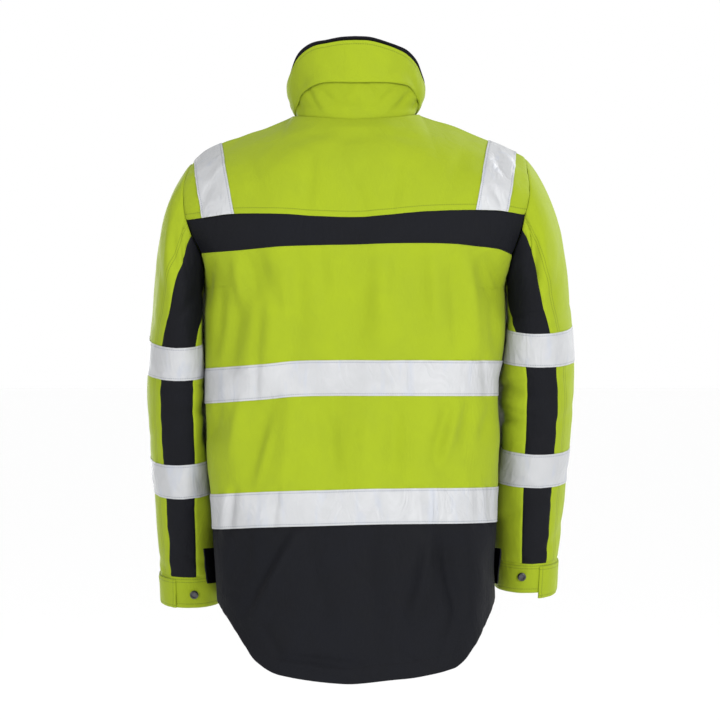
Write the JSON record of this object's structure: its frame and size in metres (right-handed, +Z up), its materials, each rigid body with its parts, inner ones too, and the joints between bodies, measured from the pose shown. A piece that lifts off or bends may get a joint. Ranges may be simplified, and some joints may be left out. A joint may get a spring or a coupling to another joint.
{
  "type": "hi-vis work jacket",
  "caption": "Long hi-vis work jacket, hollow as worn, with stand collar, set-in sleeves, reflective tapes, dropped tail and front zip",
  "frame": {"origin": "base of the neck on the wearer's middle line, where the wearer holds the jacket up", "axes": "+Z up along the body, +Y toward the wearer's back, +X to the wearer's left"},
  "size_m": [0.6019, 0.2885, 0.894],
  "materials": {
    "yellow_cloth": "woven polyester cotton twill, fluorescent yellow, soft sheen",
    "black_cloth": "woven polyester cotton twill, black, matte",
    "reflective_tape": "silver retroreflective tape, sewn on, faint creases",
    "collar_lining": "brushed black lining",
    "stud_metal": "dark press stud, satin",
    "zip_plastic": "moulded black zip teeth",
    "zip_metal": "dark zip slider, semi-gloss",
    "zip_cloth": "woven black zip tape, ribbed"
  },
  "bodies": {
    "jacket": {"back_yoke": "yellow_cloth", "back_body": "yellow_cloth", "front_left": "yellow_cloth", "front_right": "yellow_cloth", "collar_outer": "yellow_cloth", "collar_stand": "yellow_cloth", "sleeve_left": "yellow_cloth", "sleeve_right": "yellow_cloth", "under_sleeve_left": "yellow_cloth", "under_sleeve_right": "yellow_cloth", "cuff_left": "yellow_cloth", "cuff_right": "yellow_cloth", "cuff_tab_left": "yellow_cloth", "cuff_tab_right": "yellow_cloth", "back_chest_band": "black_cloth", "back_hem_panel": "black_cloth", "front_lower_left": "black_cloth", "front_lower_right": "black_cloth", "sleeve_strip_left": "black_cloth", "sleeve_strip_right": "black_cloth", "pocket_flap_left": "black_cloth", "pocket_flap_right": "black_cloth", "collar_lining": "collar_lining", "shoulder_tape_left": "reflective_tape", "shoulder_tape_right": "reflective_tape", "waist_tape_back": "reflective_tape", "waist_tape_front_left": "reflective_tape", "waist_tape_front_right": "reflective_tape", "hip_tape_back": "reflective_tape", "hip_tape_front_left": "reflective_tape", "hip_tape_front_right": "reflective_tape", "sleeve_tape_upper_left": "reflective_tape", "sleeve_tape_upper_right": "reflective_tape", "sleeve_tape_lower_left": "reflective_tape", "sleeve_tape_lower_right": "reflective_tape", "cuff_snap_left": "stud_metal", "cuff_snap_right": "stud_metal", "zip_chain": "zip_plastic", "zip_tape_left": "zip_cloth", "zip_tape_right": "zip_cloth", "zip_slider": "zip_metal"},
    "zip_pull_tab": {"zip_pull": "zip_metal"}
  },
  "joints": [
    {"name": "pull_tab_hinge", "type": "hinge", "parent": "jacket", "child": "zip_pull_tab", "pos_m": [0, -0.09192, 0.01402], "axis": [-1, 0, 0], "range_deg": [0, 150]}
  ]
}
